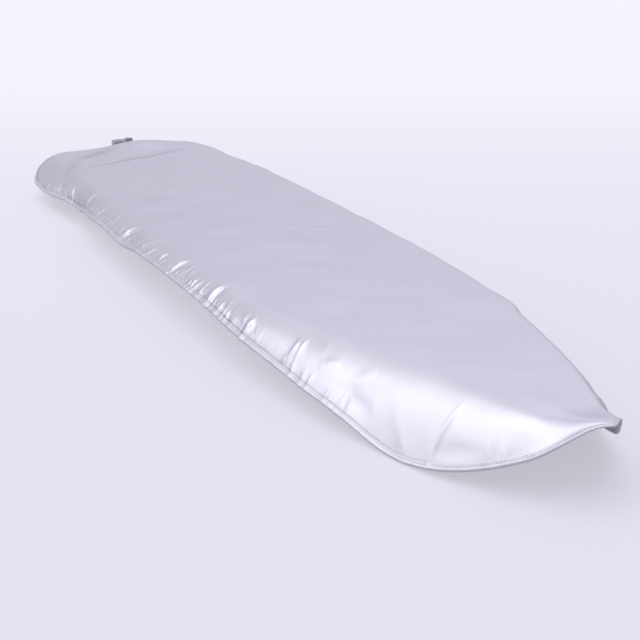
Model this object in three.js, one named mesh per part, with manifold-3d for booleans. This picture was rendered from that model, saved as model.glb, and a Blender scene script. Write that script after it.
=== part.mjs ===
import * as THREE from 'three';
import { mergeVertices } from 'three/addons/utils/BufferGeometryUtils.js';
import Module from 'manifold-3d';

// A padded ironing board cover. A silver-coated cloth lies over a foam pad and a felt underlay, and its
// skirt turns down round the board. A folded tape binds the hem and is the casing of the draw cord, whose
// two tails leave it at the middle of the tail end and pass through a sprung cord lock.
// Millimetres, +Z up. The nose points along +X, and the felt's underside lies on the board at z = 0.

const wasm = await Module();
wasm.setup();

// Outline of the top, seen from above
const LENGTH = 1262;
const WIDTH = 304;
const TAIL_WIDTH = 190;
const TAIL_CORNER = 85;
const NOSE_LENGTH = 331;
const SHOULDER_WIDTH = 238;
const SHOULDER_SLOPE = 0.21;
const TIP_LENGTH = 9;
const TIP_WIDTH = 18;
const TIP_SLOPE = 0.9;

// Shape of the outline's curves: the share of a stretch that each curve handle takes
const CORNER_HANDLE = 0.55;
const SIDE_HANDLES = [0.4, 0.1];
const NOSE_HANDLES = [0.34, 0.12];

// Layers, from the board upwards
const CLEARANCE = 0.3;
const FELT_THICKNESS = 3;
const FOAM_THICKNESS = 4;
const CLOTH_THICKNESS = 0.6;
const EDGE_ROUND = 3.5;

// Turned-up tip, and how far the padding stops short of it
const TIP_LIFT = 12;
const TIP_LIFT_SPAN = 55;
const PAD_SETBACK = 22;
const PAD_SETBACK_SPAN = 120;

// Skirt: how far its hem lies below the top and outside the top's outline. The hem is highest at its crest,
// a little to the far side of the tip, and falls away from it more gently on that side.
const SIDE_DEPTH = 28;
const SIDE_FLARE = 1;
const SWOOP_DEPTH = 72;
const SWOOP_FLARE = 34;
const SWOOP_PEAK = 6;
const SWOOP_END = 490;
const TIP_DEPTH = 4.2;
const TIP_FLARE = 1;
const TIP_RISE = 178;
const FAR_TIP_RISE = 197;
const TIP_EASE = 1.08;
const CREST_AT = -2.5;
const CREST_ROUND = 12;
const CORNER_DEPTH = 35;
const CORNER_FLARE = 20;
const CORNER_HOLD = 245;
const CORNER_END = 430;
const TAIL_DEPTH = 7;
const TAIL_FLARE = 16;
const TAIL_LIP_END = 205;

// Main folds of the loose skirt beside the nose
const FOLD_HEIGHT = 3;
const FOLD_PITCH = 80;
const NEAR_FOLD_AT = 130;
const FAR_FOLD_AT = 160;

// Hem binding and its cord
const TAPE_THICKNESS = 0.5;
const LIP_WIDTH = 2.8;
const CORD_DIAMETER = 2.5;
const CASING_GAP = 28;

// Cord lock, with its axis across the cord
const LOCK_RADIUS = 8;
const LOCK_FLOOR = 1.6;
const LOCK_RIM = 1.4;
const LOCK_TAPER = 0.9;
const PLUNGER_RADIUS = 5.6;
const PLUNGER_WEB = 2;
const BUTTON_PROUD = 5.5;
const BUTTON_TRAVEL = 4;
const BUTTON_DISH = 0.8;
const EDGE_BREAK = 0.8;
const SLOT_ROUNDNESS = 0.98;
const SPRING_ROOM = 7;
const SPRING_RADIUS = 3.6;
const SPRING_WIRE = 0.7;
const SPRING_TURNS = 4.5;

// Bell that holds the two cord ends
const BELL_LENGTH = 12;
const BELL_DEPTH = 8;
const BELL_WALL = 1.1;
const BELL_TAPER = 0.9;

// Route of a cord tail from its end of the casing: distance outwards, sideways, upwards, and the share of
// the distance by which the two tails lie one above the other. The lead is mirrored for the other tail, and
// the lock sits at the first point after it.
const LEAD_ROUTE = [
  [1.1, 8.6, 0.8, 0.25],
  [4.1, 4.1, 2.5, 0.6],
  [8.6, 1.1, 4.2, 0.9],
  [14, 0, 5, 1],
];
const TAIL_ROUTE = [
  [24, 0, 5, 1],
  [35, 0, 5, 1],
  [46, 0, 5, 1],
  [52, 1.6, 5, 1],
  [56.4, 6, 5, 1],
  [58, 12, 5, 1],
  [58, 20, 5, 1],
  [58, 30, 5, 1],
];

// Steps along the stretches of the outline, and sides of the round pieces
const TAIL_STEPS = 3;
const CORNER_STEPS = 6;
const SIDE_STEPS = 11;
const NOSE_STEPS = 18;
const TIP_STEPS = 5;
const CORD_SIDES = 8;
const BULB_STEPS = 6;
const LATHE_SIDES = 32;
const SPRING_SIDES = 5;
const STEPS_PER_TURN = 10;
const WELD_DISTANCE = 1e-4;

// Heights and sizes that follow from the driving ones
const FOAM_BASE = FELT_THICKNESS + CLEARANCE;
const TOP = FOAM_BASE + FOAM_THICKNESS + CLEARANCE + CLOTH_THICKNESS;
const SLOT_HALF = CLOTH_THICKNESS / 2 + CLEARANCE;
const CORD_RADIUS = CORD_DIAMETER / 2;
const CORD_DROP = CORD_RADIUS + CLEARANCE;
const CORD_SPREAD = CORD_RADIUS + CLEARANCE / 2;

const UP = new THREE.Vector3(0, 0, 1);
const { clamp, lerp, smoothstep } = THREE.MathUtils;

function finish(color, roughness, metalness) {
  return new THREE.MeshStandardMaterial({ color, roughness, metalness });
}

function namedMesh(name, geometry, material) {
  const mesh = new THREE.Mesh(geometry, material);
  mesh.name = name;
  return mesh;
}

function indexedGeometry(points, triangles) {
  const geometry = new THREE.BufferGeometry().setFromPoints(points);
  geometry.setIndex(triangles.flat());
  geometry.computeVertexNormals();
  return geometry;
}

// Solids for cutting
function toSolid(geometry) {
  const bare = geometry.clone();
  bare.deleteAttribute('normal');
  bare.deleteAttribute('uv');
  const merged = mergeVertices(bare, WELD_DISTANCE);
  return new wasm.Manifold(new wasm.Mesh({
    numProp: 3,
    vertProperties: new Float32Array(merged.attributes.position.array),
    triVerts: new Uint32Array(merged.index.array),
  }));
}

function cutAway(geometry, cutter) {
  const mesh = toSolid(geometry).subtract(toSolid(cutter)).getMesh();
  const result = new THREE.BufferGeometry();
  result.setAttribute('position', new THREE.BufferAttribute(mesh.vertProperties, 3));
  result.setIndex(new THREE.BufferAttribute(mesh.triVerts, 1));
  result.computeVertexNormals();
  return result;
}

// Outline of the top: the far half from the casing gap at the tail round to the tip
function halfOutline() {
  const tail = -LENGTH / 2;
  const tip = LENGTH / 2;
  const gapEnd = new THREE.Vector2(tail, CASING_GAP / 2);
  const cornerStart = new THREE.Vector2(tail, TAIL_WIDTH / 2);
  const cornerEnd = new THREE.Vector2(tail + TAIL_CORNER, WIDTH / 2);
  const shoulder = new THREE.Vector2(tip - NOSE_LENGTH, SHOULDER_WIDTH / 2);
  const tipStart = new THREE.Vector2(tip - TIP_LENGTH, TIP_WIDTH / 2);
  const point = (from, dx, dy) => new THREE.Vector2(from.x + dx, from.y + dy);

  const cornerReach = (cornerEnd.y - cornerStart.y) * CORNER_HANDLE;
  const corner = new THREE.CubicBezierCurve(
    cornerStart,
    point(cornerStart, 0, cornerReach),
    point(cornerEnd, -TAIL_CORNER * CORNER_HANDLE, 0),
    cornerEnd,
  );
  const sideSpan = shoulder.x - cornerEnd.x;
  const side = new THREE.CubicBezierCurve(
    cornerEnd,
    point(cornerEnd, sideSpan * SIDE_HANDLES[0], 0),
    point(shoulder, -sideSpan * SIDE_HANDLES[1], sideSpan * SIDE_HANDLES[1] * SHOULDER_SLOPE),
    shoulder,
  );
  const noseSpan = tipStart.x - shoulder.x;
  const nose = new THREE.CubicBezierCurve(
    shoulder,
    point(shoulder, noseSpan * NOSE_HANDLES[0], -noseSpan * NOSE_HANDLES[0] * SHOULDER_SLOPE),
    point(tipStart, -noseSpan * NOSE_HANDLES[1], noseSpan * NOSE_HANDLES[1] * TIP_SLOPE),
    tipStart,
  );
  const tipTurn = new THREE.QuadraticBezierCurve(
    tipStart,
    point(tipStart, TIP_LENGTH, -TIP_LENGTH * TIP_SLOPE),
    new THREE.Vector2(tip, 0),
  );
  const stretches = [
    [new THREE.LineCurve(gapEnd, cornerStart), TAIL_STEPS],
    [corner, CORNER_STEPS],
    [side, SIDE_STEPS],
    [nose, NOSE_STEPS],
    [tipTurn, TIP_STEPS],
  ];
  const points = [gapEnd];
  for (const [curve, steps] of stretches) {
    points.push(...curve.getSpacedPoints(steps).slice(1));
  }
  return points;
}

// Depth and flare of the skirt at a place on the outline
function skirtShape(fromTip, fromTail, riseShare) {
  const swoop = 1 - smoothstep(fromTip, SWOOP_PEAK, SWOOP_END);
  const corner = 1 - smoothstep(fromTail, CORNER_HOLD, CORNER_END);
  const lip = 1 - smoothstep(fromTail, TAIL_WIDTH / 2, TAIL_LIP_END);
  const rise = Math.sin(Math.PI / 2 * Math.min(1, riseShare)) ** TIP_EASE;
  const blend = (side, swooped, cornered, tail, tip) => {
    const along = side + (swooped - side) * swoop + (cornered - side) * corner;
    return lerp(tip, lerp(along, tail, lip), rise);
  };
  return {
    depth: blend(SIDE_DEPTH, SWOOP_DEPTH, CORNER_DEPTH, TAIL_DEPTH, TIP_DEPTH),
    flare: blend(SIDE_FLARE, SWOOP_FLARE, CORNER_FLARE, TAIL_FLARE, TIP_FLARE),
    looseness: swoop * rise,
  };
}

// Stations right round the outline, each with its place on the top's edge and the line of the hem there
function makeStations() {
  const half = halfOutline();
  const last = half.length - 1;
  const lengths = [half[0].y];
  for (let i = 1; i <= last; i += 1) {
    lengths.push(lengths[i - 1] + half[i].distanceTo(half[i - 1]));
  }
  const stations = half.map((point, i) => ({ point, fromTail: lengths[i], side: -1, foldAt: FAR_FOLD_AT }));
  for (let i = last - 1; i >= 0; i -= 1) {
    const point = new THREE.Vector2(half[i].x, -half[i].y);
    stations.push({ point, fromTail: lengths[i], side: 1, foldAt: NEAR_FOLD_AT });
  }
  const count = stations.length;
  stations.forEach((station, i) => {
    const before = stations[(i + count - 1) % count].point;
    const after = stations[(i + 1) % count].point;
    const along = after.clone().sub(before).normalize();
    station.outward = new THREE.Vector3(-along.y, along.x, 0);
    station.fromTip = lengths[last] - station.fromTail;
    const crestOffset = station.fromTip * station.side - CREST_AT;
    const fromCrest = Math.hypot(crestOffset, CREST_ROUND) - CREST_ROUND;
    const riseSpan = crestOffset < 0 ? FAR_TIP_RISE : TIP_RISE;
    Object.assign(station, skirtShape(station.fromTip, station.fromTail, fromCrest / riseSpan));
    station.round = Math.min(EDGE_ROUND, station.depth - LIP_WIDTH - CLEARANCE);
    const lift = TIP_LIFT * (1 - smoothstep(station.fromTip, 0, TIP_LIFT_SPAN));
    station.edge = new THREE.Vector3(station.point.x, station.point.y, TOP + lift);
    station.ridge = station.edge.clone().addScaledVector(UP, -station.round);
    station.hem = station.edge.clone();
    station.hem.addScaledVector(station.outward, station.flare).addScaledVector(UP, -station.depth);
  });
  stations.forEach((station, i) => {
    const before = stations[(i + count - 1) % count].hem;
    const after = stations[(i + 1) % count].hem;
    station.along = after.clone().sub(before).normalize();
    station.down = station.hem.clone().sub(station.ridge);
    station.down.addScaledVector(station.along, -station.down.dot(station.along)).normalize();
    station.normal = station.along.clone().cross(station.down).normalize();
    station.lip = station.hem.clone().addScaledVector(station.down, -LIP_WIDTH);
    station.cord = station.hem.clone().addScaledVector(station.down, CORD_DROP);
  });
  return stations;
}

const stations = makeStations();
const stationCount = stations.length;
const tipStation = (stationCount - 1) / 2;

// Closed shell through rings of points, one point of each ring at every station, with a flat panel laid
// across the first and the last ring from side to side
function shellThroughRings(rings) {
  const triangles = [];
  const at = (ring, i) => ring * stationCount + (i % stationCount);
  for (let ring = 0; ring + 1 < rings.length; ring += 1) {
    for (let i = 0; i < stationCount; i += 1) {
      triangles.push([at(ring, i), at(ring, i + 1), at(ring + 1, i + 1)]);
      triangles.push([at(ring, i), at(ring + 1, i + 1), at(ring + 1, i)]);
    }
  }
  for (let i = 0; i < tipStation; i += 1) {
    const far = i;
    const near = stationCount - 1 - i;
    for (const [ring, turned] of [[0, false], [rings.length - 1, true]]) {
      const panel = [[at(ring, near), at(ring, near - 1), at(ring, far)]];
      if (far + 1 !== near - 1) {
        panel.push([at(ring, near - 1), at(ring, far + 1), at(ring, far)]);
      }
      triangles.push(...(turned ? panel.map((corners) => corners.reverse()) : panel));
    }
  }
  return indexedGeometry(rings.flat(), triangles);
}

// Coated cloth: flat top, rounded edge, skirt with its folds, and the edge that the binding grips
function topCloth() {
  const rounding = (turn) => stations.map((station) => {
    const inset = station.round * (1 - Math.sin(turn));
    const drop = station.round * (1 - Math.cos(turn));
    return station.edge.clone().addScaledVector(station.outward, -inset).addScaledVector(UP, -drop);
  });
  const skirtRow = (share) => stations.map((station) => {
    const wave = Math.cos(2 * Math.PI * (station.fromTip - station.foldAt) / FOLD_PITCH);
    const swell = FOLD_HEIGHT * station.looseness * wave * Math.sin(Math.PI * share);
    return station.ridge.clone().lerp(station.lip, share).addScaledVector(station.normal, swell);
  });
  const face = [
    rounding(0),
    rounding(Math.PI / 4),
    rounding(Math.PI / 2),
    skirtRow(1 / 3),
    skirtRow(2 / 3),
    stations.map((station) => station.lip),
    stations.map((station) => station.hem),
  ];
  const ridgeRow = 2;
  const lipRow = face.length - 2;
  const normalAt = (row, i) => {
    if (row === 0) {
      return UP;
    }
    if (row >= lipRow) {
      return stations[i].normal;
    }
    const down = face[row + 1][i].clone().sub(face[row - 1][i]);
    return stations[i].along.clone().cross(down).normalize();
  };
  const offsetRow = (row, distance) => face[row].map(
    (point, i) => point.clone().addScaledVector(normalAt(row, i), distance),
  );
  // The cloth lies inside the drawn face down to the ridge, and astride it from the lip on
  const outset = (row) => {
    const share = clamp((row - ridgeRow) / (lipRow - ridgeRow), 0, 1);
    return share * CLOTH_THICKNESS / 2;
  };
  const outside = face.map((points, row) => offsetRow(row, outset(row)));
  const inside = face.map((points, row) => offsetRow(row, outset(row) - CLOTH_THICKNESS));
  return shellThroughRings([...outside, ...inside.reverse()]);
}

// Flat layer with the outline of the top, drawn in by an inset, which gives way to a setback at the tip
function flatLayer(inset, base, thickness) {
  const ring = (height) => stations.map((station) => {
    const share = smoothstep(station.fromTip, 0, PAD_SETBACK_SPAN);
    const point = station.edge.clone().addScaledVector(station.outward, -inset * share);
    point.x -= PAD_SETBACK * (1 - share);
    return point.setZ(height);
  });
  return shellThroughRings([ring(base + thickness), ring(base)]);
}

// Section of the folded tape: two lips beside the cloth, joined by a bulb round the cord. The first
// coordinate runs out from the cloth's face and the second down the skirt.
function tapeSection() {
  const bulb = (radius, reach) => {
    const start = Math.asin(reach / radius);
    const turn = 2 * (Math.PI - start) / BULB_STEPS;
    return Array.from({ length: BULB_STEPS + 1 }, (unused, step) => {
      const angle = start + turn * step;
      return new THREE.Vector2(radius * Math.sin(angle), CORD_DROP - radius * Math.cos(angle));
    });
  };
  const boreRadius = (CORD_RADIUS + CLEARANCE) / Math.cos(Math.PI / BULB_STEPS);
  const outerReach = SLOT_HALF + TAPE_THICKNESS;
  const inner = bulb(boreRadius, SLOT_HALF);
  const outer = bulb(boreRadius + TAPE_THICKNESS, outerReach);
  return [
    new THREE.Vector2(outerReach, -LIP_WIDTH),
    ...outer,
    new THREE.Vector2(-outerReach, -LIP_WIDTH),
    new THREE.Vector2(-SLOT_HALF, -LIP_WIDTH),
    ...inner.reverse(),
    new THREE.Vector2(SLOT_HALF, -LIP_WIDTH),
  ];
}

function hemBinding() {
  const section = tapeSection();
  const size = section.length;
  const points = stations.flatMap((station) => section.map((corner) => station.hem.clone()
    .addScaledVector(station.normal, corner.x)
    .addScaledVector(station.down, corner.y)));
  const triangles = [];
  for (let i = 0; i + 1 < stationCount; i += 1) {
    for (let j = 0; j < size; j += 1) {
      const here = i * size;
      const next = here + size;
      const other = (j + 1) % size;
      triangles.push([here + j, next + j, here + other], [next + j, next + other, here + other]);
    }
  }
  const farEnd = size * (stationCount - 1);
  for (const [a, b, c] of THREE.ShapeUtils.triangulateShape(section, [])) {
    triangles.push([a, b, c], [farEnd + c, farEnd + b, farEnd + a]);
  }
  return indexedGeometry(points, triangles);
}

// Curve with one step between each two points of a route
class Route extends THREE.Curve {
  constructor(points) {
    super();
    this.points = points;
  }

  getPoint(t) {
    const place = t * (this.points.length - 1);
    const first = Math.min(Math.floor(place), this.points.length - 2);
    return this.points[first].clone().lerp(this.points[first + 1], place - first);
  }

  getPointAt(u) {
    return this.getPoint(u);
  }

  getTangentAt(u) {
    return this.getTangent(u);
  }
}

function roundTube(points, radius, sides) {
  const section = new THREE.Shape(Array.from({ length: sides }, (unused, i) => {
    const angle = 2 * Math.PI * i / sides;
    return new THREE.Vector2(radius * Math.cos(angle), radius * Math.sin(angle));
  }));
  const extrudePath = new Route(points);
  return new THREE.ExtrudeGeometry(section, { steps: points.length - 1, extrudePath, bevelEnabled: false });
}

// Point of a cord tail, reckoned from where the cord leaves the casing
const casingMouth = new THREE.Vector3(stations[0].cord.x, 0, stations[0].cord.z);

function tailPoint([outwards, sideways, upwards, share], side, stack) {
  const offset = new THREE.Vector3(-outwards, sideways * side, upwards + stack * CORD_SPREAD * share);
  return casingMouth.clone().add(offset);
}

function cordTail(side, stack) {
  const lead = LEAD_ROUTE.map((place) => tailPoint(place, side, stack));
  const rest = TAIL_ROUTE.map((place) => tailPoint(place, 1, stack));
  return [...lead, ...rest];
}

function drawCord() {
  const casing = stations.map((station) => station.cord);
  return roundTube([...cordTail(1, -1).reverse(), ...casing, ...cordTail(-1, 1)], CORD_RADIUS, CORD_SIDES);
}

// Cord lock. Its parts turn about the local Y axis, and the cords pass through along X at the origin.
const cordHole = CORD_RADIUS + CLEARANCE;
const holeHeight = 2 * (CORD_SPREAD + cordHole);
const plungerFoot = -cordHole - PLUNGER_WEB;
const floorFace = plungerFoot - SPRING_ROOM;
const rimFace = cordHole + BUTTON_TRAVEL + LOCK_RIM;

function turned(profile) {
  return new THREE.LatheGeometry(profile.map(([r, y]) => new THREE.Vector2(r, y)), LATHE_SIDES);
}

// Round-ended hole for the two cords, from one height to another along the lock's axis
function cordSlot(low, high) {
  const halfHeight = holeHeight / 2;
  const corner = Math.min(cordHole, (high - low) / 2) * SLOT_ROUNDNESS;
  const slot = new THREE.Shape();
  slot.moveTo(-halfHeight + corner, low);
  slot.absarc(halfHeight - corner, low + corner, corner, -Math.PI / 2, 0);
  slot.absarc(halfHeight - corner, high - corner, corner, 0, Math.PI / 2);
  slot.absarc(-halfHeight + corner, high - corner, corner, Math.PI / 2, Math.PI);
  slot.absarc(-halfHeight + corner, low + corner, corner, Math.PI, 1.5 * Math.PI);
  slot.closePath();
  const depth = 4 * LOCK_RADIUS;
  const prism = new THREE.ExtrudeGeometry(slot, { depth, bevelEnabled: false, curveSegments: 4 });
  return prism.translate(0, 0, -depth / 2).rotateY(Math.PI / 2);
}

function lockBarrel() {
  const bore = PLUNGER_RADIUS + CLEARANCE;
  const base = floorFace - LOCK_FLOOR;
  const narrow = LOCK_RADIUS - LOCK_TAPER;
  const shell = turned([
    [0, base],
    [narrow - EDGE_BREAK, base],
    [narrow, base + EDGE_BREAK],
    [LOCK_RADIUS, plungerFoot],
    [LOCK_RADIUS, cordHole],
    [narrow, rimFace - EDGE_BREAK],
    [narrow - EDGE_BREAK, rimFace],
    [bore, rimFace],
    [bore, floorFace],
    [0, floorFace],
  ]);
  return cutAway(shell, cordSlot(-cordHole - BUTTON_TRAVEL, cordHole));
}

function lockPlunger() {
  const top = rimFace + BUTTON_PROUD;
  const stem = turned([
    [0, plungerFoot],
    [PLUNGER_RADIUS - EDGE_BREAK, plungerFoot],
    [PLUNGER_RADIUS, plungerFoot + EDGE_BREAK],
    [PLUNGER_RADIUS, top - EDGE_BREAK],
    [PLUNGER_RADIUS - EDGE_BREAK, top],
    [PLUNGER_RADIUS / 2, top - BUTTON_DISH / 2],
    [0, top - BUTTON_DISH],
  ]);
  return cutAway(stem, cordSlot(-cordHole, cordHole + BUTTON_TRAVEL));
}

function lockSpring() {
  const low = floorFace + CLEARANCE + SPRING_WIRE / 2;
  const high = plungerFoot - CLEARANCE - SPRING_WIRE / 2;
  const steps = Math.round(SPRING_TURNS * STEPS_PER_TURN);
  const points = Array.from({ length: steps + 1 }, (unused, i) => {
    const angle = 2 * Math.PI * SPRING_TURNS * i / steps;
    const y = low + (high - low) * i / steps;
    return new THREE.Vector3(SPRING_RADIUS * Math.cos(angle), y, SPRING_RADIUS * Math.sin(angle));
  });
  let least = Infinity;
  for (let i = 0; i + STEPS_PER_TURN / 2 < points.length; i += 1) {
    for (let j = i + STEPS_PER_TURN / 2; j < points.length; j += 1) {
      least = Math.min(least, points[i].distanceTo(points[j]) - SPRING_WIRE);
    }
  }
  console.log(`least gap between the spring's curls: ${least.toFixed(2)} mm`);
  return roundTube(points, SPRING_WIRE / 2, SPRING_SIDES);
}

// Bell on the cord ends, with its mouth at the local origin and its closed end along +Y
function cordEndBell() {
  const bore = CORD_SPREAD + CORD_RADIUS + CLEARANCE;
  const mouth = bore + BELL_WALL;
  return turned([
    [0, BELL_DEPTH],
    [bore, BELL_DEPTH],
    [bore, 0],
    [mouth, 0],
    [mouth, BELL_LENGTH / 3],
    [mouth - BELL_TAPER, BELL_LENGTH - EDGE_BREAK],
    [mouth - BELL_TAPER - EDGE_BREAK, BELL_LENGTH],
    [0, BELL_LENGTH],
  ]);
}

// Finishes
const silverCloth = finish(0xc9c8d8, 0.42, 0.35);
const silverTape = finish(0xdcdde9, 0.45, 0.25);
const paleFoam = finish(0xe9e6dc, 0.95, 0);
const greyFelt = finish(0xd2d1d2, 1, 0);
const whiteCord = finish(0xe6e6ec, 0.8, 0);
const greyPlastic = finish(0x9a9ba6, 0.5, 0);
const springSteel = finish(0xb4b8be, 0.3, 1);

const cover = new THREE.Group();
cover.add(namedMesh('silver_top_cloth', topCloth(), silverCloth));
cover.add(namedMesh('foam_pad', flatLayer(EDGE_ROUND, FOAM_BASE, FOAM_THICKNESS), paleFoam));
const feltInset = EDGE_ROUND / 2 + CLOTH_THICKNESS + CLEARANCE;
cover.add(namedMesh('felt_underlay', flatLayer(feltInset, 0, FELT_THICKNESS), greyFelt));
cover.add(namedMesh('hem_binding', hemBinding(), silverTape));
cover.add(namedMesh('draw_cord', drawCord(), whiteCord));

const lock = new THREE.Group();
lock.position.copy(tailPoint(TAIL_ROUTE[0], 1, 0));
lock.add(namedMesh('lock_barrel', lockBarrel(), greyPlastic.clone()));
lock.add(namedMesh('lock_plunger', lockPlunger(), greyPlastic.clone()));
lock.add(namedMesh('lock_spring', lockSpring(), springSteel));
cover.add(lock);

const bell = namedMesh('cord_end_bell', cordEndBell(), greyPlastic.clone());
bell.position.copy(tailPoint(TAIL_ROUTE.at(-1), 1, 0));
bell.position.y -= BELL_DEPTH - CLEARANCE;
cover.add(bell);

export default cover;
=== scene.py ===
import math
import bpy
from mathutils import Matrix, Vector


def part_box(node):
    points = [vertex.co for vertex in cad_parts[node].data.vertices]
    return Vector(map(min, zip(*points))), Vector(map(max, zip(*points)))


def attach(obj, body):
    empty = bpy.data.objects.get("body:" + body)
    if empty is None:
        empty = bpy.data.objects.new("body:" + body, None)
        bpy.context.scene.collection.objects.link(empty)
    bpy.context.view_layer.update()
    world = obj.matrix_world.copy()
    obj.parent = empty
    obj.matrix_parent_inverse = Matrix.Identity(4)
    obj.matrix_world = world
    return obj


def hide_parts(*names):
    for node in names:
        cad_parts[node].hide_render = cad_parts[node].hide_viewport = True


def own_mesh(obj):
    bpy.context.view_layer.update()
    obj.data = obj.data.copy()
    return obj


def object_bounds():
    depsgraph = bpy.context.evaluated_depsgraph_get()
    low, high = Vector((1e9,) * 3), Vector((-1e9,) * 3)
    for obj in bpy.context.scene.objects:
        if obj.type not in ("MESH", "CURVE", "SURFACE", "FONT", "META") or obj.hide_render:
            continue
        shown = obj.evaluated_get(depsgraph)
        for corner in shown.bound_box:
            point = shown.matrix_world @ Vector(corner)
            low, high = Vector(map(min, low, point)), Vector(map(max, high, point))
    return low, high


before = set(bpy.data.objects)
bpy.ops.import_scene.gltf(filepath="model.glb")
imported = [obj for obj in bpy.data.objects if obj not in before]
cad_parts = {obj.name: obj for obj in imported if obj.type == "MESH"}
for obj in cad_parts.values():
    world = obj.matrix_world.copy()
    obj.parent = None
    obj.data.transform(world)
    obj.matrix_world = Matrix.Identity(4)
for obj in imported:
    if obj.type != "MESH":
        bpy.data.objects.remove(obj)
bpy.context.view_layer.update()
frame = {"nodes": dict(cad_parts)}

from types import SimpleNamespace

import bpy
import numpy as np

# A padded ironing board cover: silver-coated cloth over foam and felt, a folded tape that binds the hem,
# and a draw cord with its sprung lock. Shapes are drawn in millimetres and meshes are made in metres.
MM = 0.001
UP = np.array([0.0, 0.0, 1.0])

# Least sine of the angle between a line's start and the axis that its frames begin from
LEAST_CROSSING = 0.1

# Outline of the top, seen from above
LENGTH = 1262
WIDTH = 304
TAIL_WIDTH = 190
TAIL_CORNER = 85
NOSE_LENGTH = 331
SHOULDER_WIDTH = 238
SHOULDER_SLOPE = 0.21
TIP_LENGTH = 9
TIP_WIDTH = 18
TIP_SLOPE = 0.9
CORNER_HANDLE = 0.55
SIDE_HANDLES = (0.4, 0.1)
NOSE_HANDLES = (0.34, 0.12)

# How far the edge stands out beside the nose, where the cloth is pulled: distances from the tip, and the
# pull at each
FAR_PULL = ((0, 0), (16, 1.8), (40, 1), (110, 4.2), (250, 4.2), (282, 8.5), (350, 0))
NEAR_PULL = ((0, 0), (25, 0), (90, 9), (330, 10), (540, 0))

# The near hem lies further out and higher along the side: distances from the tip, and how far
NEAR_SPREAD = ((150, 0), (280, 8), (420, 11), (850, 11), (1000, 0))
NOSE_RISE = ((150, 0), (250, 10), (400, 10.5), (600, 15), (660, 14))
BODY_RISE = ((735, 8), (830, 11.5), (900, 7), (990, -3), (1060, 0))
NEAR_RISE = NOSE_RISE + BODY_RISE

# Dip of the edge at the tip, and beside it on the near side, with the hem left where it is
TIP_DIP = 4
TIP_DIP_SPAN = (0, 60)
NEAR_DIP = ((0, 0), (35, 2), (50, 2), (120, 0))
NEAR_DIP_WIDTH = 0.35
TIP_BAND_DROP = 0.5
TIP_BAND_EASE = 1.5
PAD_DIP_INSET = 6

# Layers, and the turned-up tip that the padding stops short of
CLEARANCE = 0.3
FELT_THICKNESS = 3
FOAM_THICKNESS = 4
CLOTH_THICKNESS = 0.6
EDGE_ROUND = 3.5
TIP_LIFT = 12
TIP_LIFT_SPAN = 55
PAD_SETBACK = 22
PAD_SETBACK_SPAN = 120
PAD_BEVEL = 1.2
FOAM_BASE = FELT_THICKNESS + CLEARANCE
TOP = FOAM_BASE + FOAM_THICKNESS + CLEARANCE + CLOTH_THICKNESS

# Skirt: how far its hem lies below the top and outside the outline
SIDE_DEPTH = 28
SIDE_FLARE = 1
SWOOP_DEPTH = 72
SWOOP_FLARE = 34
SWOOP_PEAK = 6
SWOOP_END = 490
TIP_DEPTH = 2
TIP_FLARE = 1
TIP_RISE = 178
FAR_TIP_RISE = 188
TIP_EASE = 1.08
CREST_AT = -2.5
CREST_ROUND = 12
CORNER_DEPTH = 35
CORNER_FLARE = 20
CORNER_HOLD = 245
CORNER_END = 430
TAIL_DEPTH = 7
TAIL_FLARE = 16
TAIL_LIP_END = 205

# How the cloth rolls over the edge of the padding: where the roll begins, and how far it holds its
# direction. The roll is broad on the near side, where the skirt hangs loose, and tight on the far side.
NEAR_ROLL = 23
FAR_ROLL = 7
CORNER_ROLL = 36
CORNER_ROLL_SPAN = (190, 420)
TIP_ROLL = 1.5
TIP_ROLL_SPAN = (0, 95)
ROLL_SIDE_SPAN = (-60, 60)
NEAR_HOLD = 0.75
FAR_HOLD = 0.95
SWOOP_HOLD = 0.12
HANG_REACH = 0.5
FOAM_INSET = 0.85
FELT_INSET = 0.5

# Hem binding and its cord
TAPE_THICKNESS = 0.5
LIP_WIDTH = 2.8
CORD_DIAMETER = 2.5
CASING_GAP = 28
CORD_RADIUS = CORD_DIAMETER / 2
CORD_DROP = CORD_RADIUS + CLEARANCE
CORD_SPREAD = CORD_RADIUS + CLEARANCE / 2
SLOT_HALF = CLOTH_THICKNESS / 2 + CLEARANCE
BORE_RADIUS = 1.79
BULB_STEPS = 14
TAPE_RIPPLE = 0.12
TAPE_RIPPLE_PITCH = 9
TAIL_LINE_SLACK = 1

# Stitch row along the binding
STITCH_PITCH = 3.4
STITCH_LENGTH = 2.5
STITCH_RADIUS = 0.26
STITCH_INSET = 0.9

# Share of the binding's width along the hem: distances from the tip, and the share at each
BAND_PLACES = (10, 70, 220, 360, 1100, 1200)
BAND_SHARES = (0.48, 0.92, 0.95, 1.12, 1.12, 1)

# Route of a cord tail from its end of the casing: distance outwards, sideways, upwards, and the share of
# the distance by which the two tails lie one above the other
LEAD_ROUTE = ((1.1, 8.6, 0.8, 0.25), (4.1, 4.1, 2.5, 0.6), (8.6, 1.1, 4.2, 0.9), (14, 0, 5, 1))
TAIL_STRETCH = ((24, 0, 5, 1), (35, 0, 5, 1), (46, 0, 5, 1))
TAIL_BEND = ((52, 1.6, 5, 1), (56.4, 6, 5, 1), (58, 12, 5, 1))
TAIL_END = ((58, 20, 5, 1), (58, 30, 5, 1))
TAIL_ROUTE = TAIL_STRETCH + TAIL_BEND + TAIL_END

# Spring of the cord lock
SPRING_RADIUS = 3.6
SPRING_WIRE = 0.7
SPRING_TURNS = 4.5

# Fineness of the meshes
TAIL_STEPS = 48
SIDE_STEPS = 780
SKIRT_ROWS = 16
CURVE_POINTS = 400
STITCH_SIDES = 6
STITCH_RINGS = 5
CASING_CORD_SIDES = 10
CASING_CORD_STRIDE = 4
TAIL_SIDES = 16
ROUTE_STEPS = 6
COIL_SIDES = 8
COIL_STEPS = 24
PAD_BEVEL_STEPS = 3

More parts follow.
